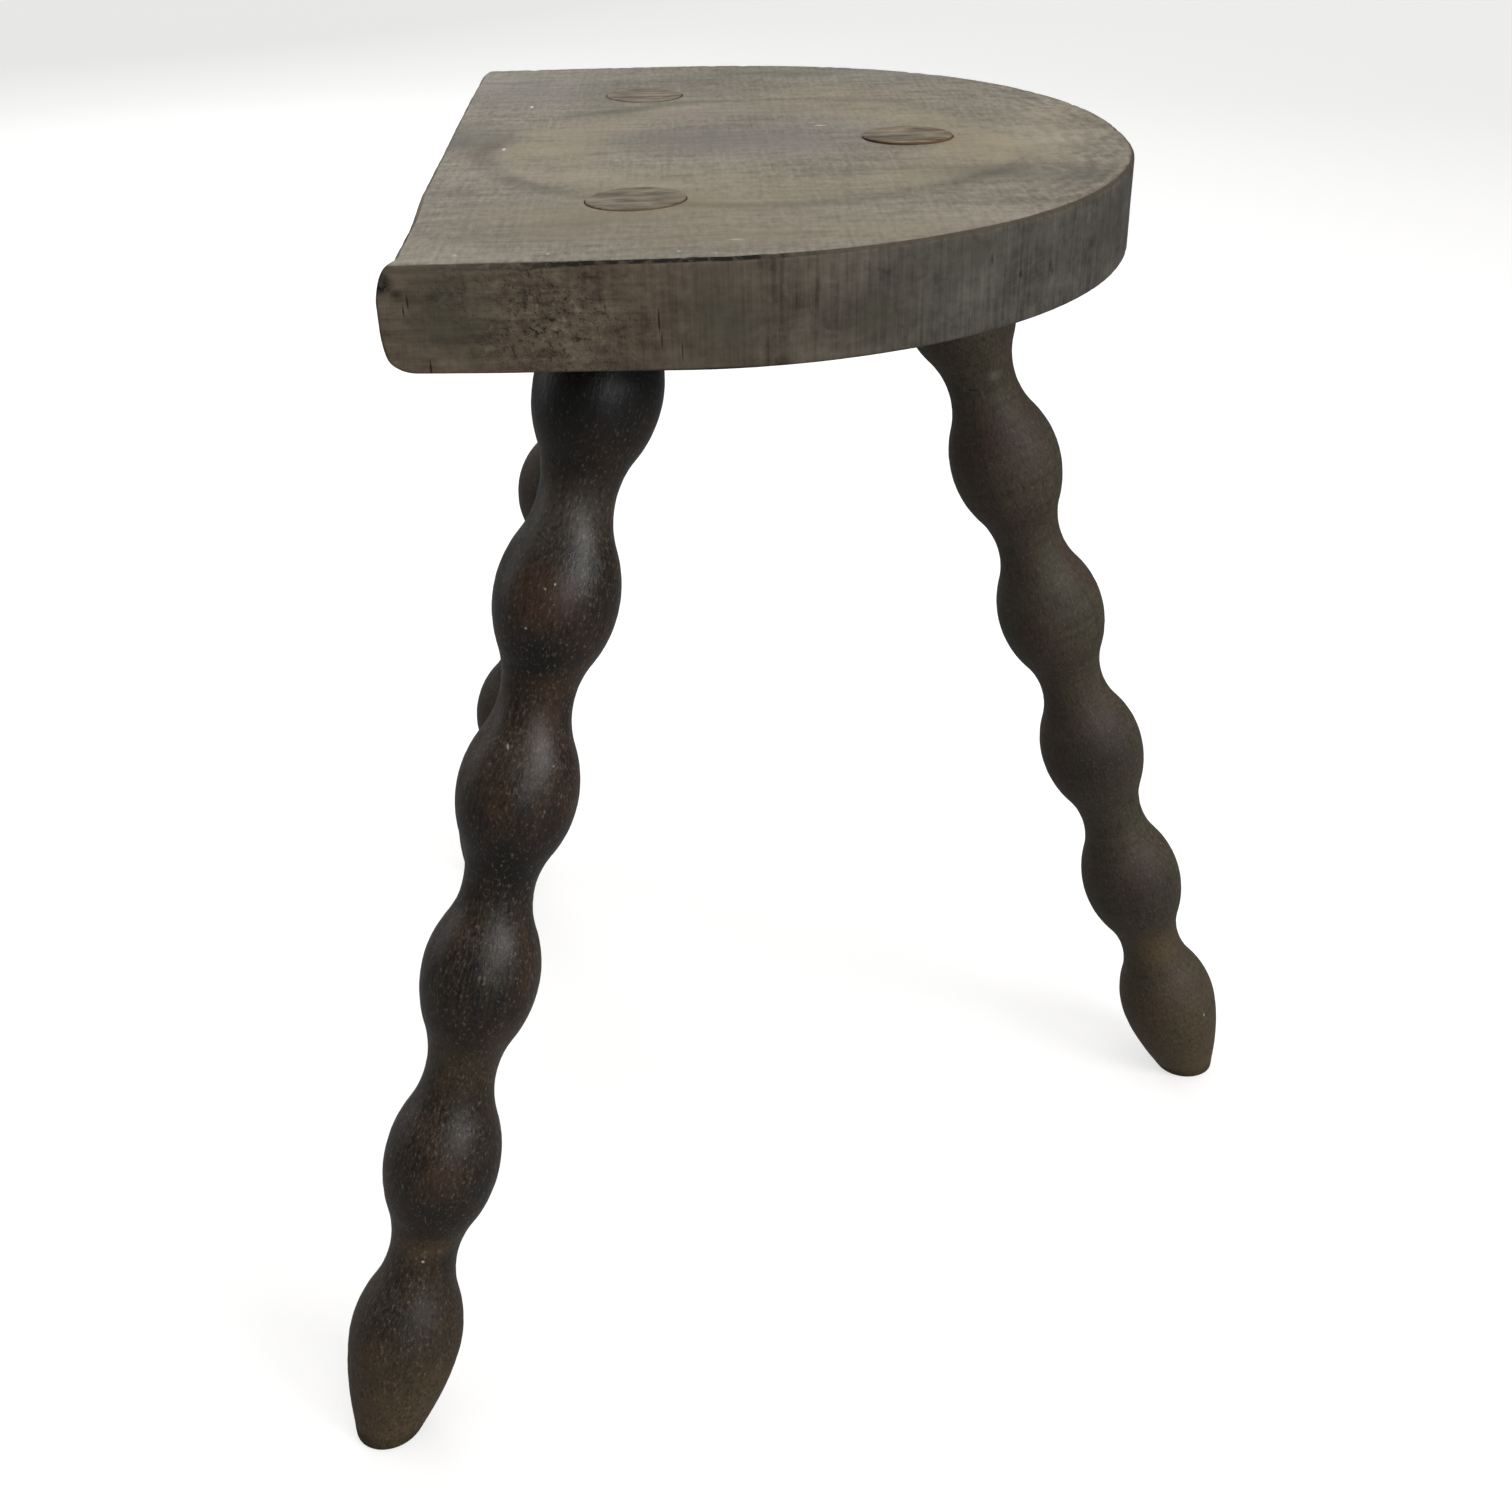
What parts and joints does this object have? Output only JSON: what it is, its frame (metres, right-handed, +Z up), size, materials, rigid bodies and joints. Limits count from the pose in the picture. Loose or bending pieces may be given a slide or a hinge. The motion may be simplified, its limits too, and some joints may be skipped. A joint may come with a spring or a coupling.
{
  "type": "milking stool",
  "caption": "Low wooden stool with a D-shaped plank seat on splayed bobbin-turned legs, whose round tenons come through the seat; stands on flat feet.",
  "frame": {"origin": "on the floor, under the middle of the box that holds the whole stool", "axes": "+Z up; +X from the seat's straight edge to its round end; Y along the straight edge, with +Y on the left of someone who looks along +X"},
  "size_m": [0.3639, 0.3892, 0.413],
  "materials": {
    "seat_wood": "weathered grey-brown, dry sawn plank",
    "leg_wood": "dark brown-black stain, worn satin"
  },
  "bodies": {
    "root": {"seat_plank": "seat_wood", "round_end_leg": "leg_wood", "square_end_leg_left": "leg_wood", "square_end_leg_right": "leg_wood"}
  },
  "joints": []
}
